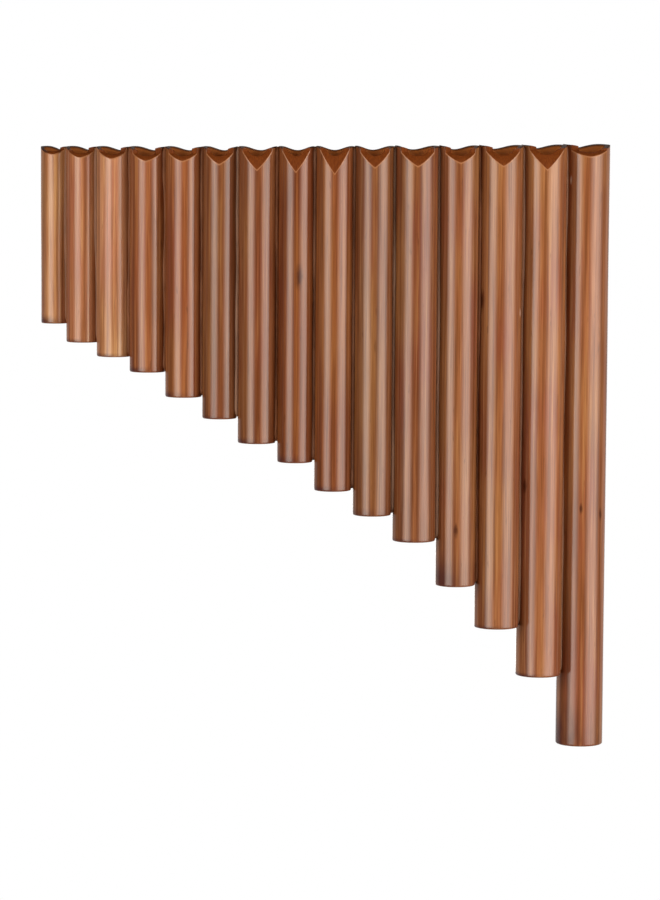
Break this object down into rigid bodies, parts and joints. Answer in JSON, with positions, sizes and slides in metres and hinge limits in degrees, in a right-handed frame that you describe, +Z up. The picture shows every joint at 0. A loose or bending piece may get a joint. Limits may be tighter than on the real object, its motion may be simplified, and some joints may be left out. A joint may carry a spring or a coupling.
{
  "type": "pan flute",
  "caption": "Curved pan flute: stopped bamboo pipes from short to long, glued side by side, with bevelled mouths and cork stoppers that slide to tune.",
  "frame": {"origin": "on the level of the longest pipe's foot, under the middle of the row's box", "axes": "+Z up along the pipes to the mouths, +X along the row towards the long pipes, -Y out of the convex front, away from the player"},
  "size_m": [0.224, 0.0426, 0.238],
  "materials": {
    "varnished_bamboo": "glossy varnish over reddish brown bamboo",
    "cork": "raw cork",
    "wood_glue": "dried brown glue"
  },
  "bodies": {
    "flute": {"pipe_01": "varnished_bamboo", "pipe_02": "varnished_bamboo", "pipe_03": "varnished_bamboo", "pipe_04": "varnished_bamboo", "pipe_05": "varnished_bamboo", "pipe_06": "varnished_bamboo", "pipe_07": "varnished_bamboo", "pipe_08": "varnished_bamboo", "pipe_09": "varnished_bamboo", "pipe_10": "varnished_bamboo", "pipe_11": "varnished_bamboo", "pipe_12": "varnished_bamboo", "pipe_13": "varnished_bamboo", "pipe_14": "varnished_bamboo", "pipe_15": "varnished_bamboo", "glue_seam_01": "wood_glue", "glue_seam_02": "wood_glue", "glue_seam_03": "wood_glue", "glue_seam_04": "wood_glue", "glue_seam_05": "wood_glue", "glue_seam_06": "wood_glue", "glue_seam_07": "wood_glue", "glue_seam_08": "wood_glue", "glue_seam_09": "wood_glue", "glue_seam_10": "wood_glue", "glue_seam_11": "wood_glue", "glue_seam_12": "wood_glue", "glue_seam_13": "wood_glue", "glue_seam_14": "wood_glue"},
    "stopper_01": {"stopper_01": "cork"},
    "stopper_02": {"stopper_02": "cork"},
    "stopper_03": {"stopper_03": "cork"},
    "stopper_04": {"stopper_04": "cork"},
    "stopper_05": {"stopper_05": "cork"},
    "stopper_06": {"stopper_06": "cork"},
    "stopper_07": {"stopper_07": "cork"},
    "stopper_08": {"stopper_08": "cork"},
    "stopper_09": {"stopper_09": "cork"},
    "stopper_10": {"stopper_10": "cork"},
    "stopper_11": {"stopper_11": "cork"},
    "stopper_12": {"stopper_12": "cork"},
    "stopper_13": {"stopper_13": "cork"},
    "stopper_14": {"stopper_14": "cork"},
    "stopper_15": {"stopper_15": "cork"}
  },
  "joints": [
    {"name": "stopper_01_slide", "type": "slide", "parent": "flute", "child": "stopper_01", "axis": [0, 0, 1], "range_m": [-0.003, 0.003]},
    {"name": "stopper_02_slide", "type": "slide", "parent": "flute", "child": "stopper_02", "axis": [0, 0, 1], "range_m": [-0.003, 0.003]},
    {"name": "stopper_03_slide", "type": "slide", "parent": "flute", "child": "stopper_03", "axis": [0, 0, 1], "range_m": [-0.003, 0.003]},
    {"name": "stopper_04_slide", "type": "slide", "parent": "flute", "child": "stopper_04", "axis": [0, 0, 1], "range_m": [-0.003, 0.003]},
    {"name": "stopper_05_slide", "type": "slide", "parent": "flute", "child": "stopper_05", "axis": [0, 0, 1], "range_m": [-0.003, 0.003]},
    {"name": "stopper_06_slide", "type": "slide", "parent": "flute", "child": "stopper_06", "axis": [0, 0, 1], "range_m": [-0.003, 0.003]},
    {"name": "stopper_07_slide", "type": "slide", "parent": "flute", "child": "stopper_07", "axis": [0, 0, 1], "range_m": [-0.003, 0.003]},
    {"name": "stopper_08_slide", "type": "slide", "parent": "flute", "child": "stopper_08", "axis": [0, 0, 1], "range_m": [-0.003, 0.003]},
    {"name": "stopper_09_slide", "type": "slide", "parent": "flute", "child": "stopper_09", "axis": [0, 0, 1], "range_m": [-0.003, 0.003]},
    {"name": "stopper_10_slide", "type": "slide", "parent": "flute", "child": "stopper_10", "axis": [0, 0, 1], "range_m": [-0.003, 0.003]},
    {"name": "stopper_11_slide", "type": "slide", "parent": "flute", "child": "stopper_11", "axis": [0, 0, 1], "range_m": [-0.003, 0.003]},
    {"name": "stopper_12_slide", "type": "slide", "parent": "flute", "child": "stopper_12", "axis": [0, 0, 1], "range_m": [-0.003, 0.003]},
    {"name": "stopper_13_slide", "type": "slide", "parent": "flute", "child": "stopper_13", "axis": [0, 0, 1], "range_m": [-0.003, 0.003]},
    {"name": "stopper_14_slide", "type": "slide", "parent": "flute", "child": "stopper_14", "axis": [0, 0, 1], "range_m": [-0.003, 0.003]},
    {"name": "stopper_15_slide", "type": "slide", "parent": "flute", "child": "stopper_15", "axis": [0, 0, 1], "range_m": [-0.003, 0.003]}
  ]
}
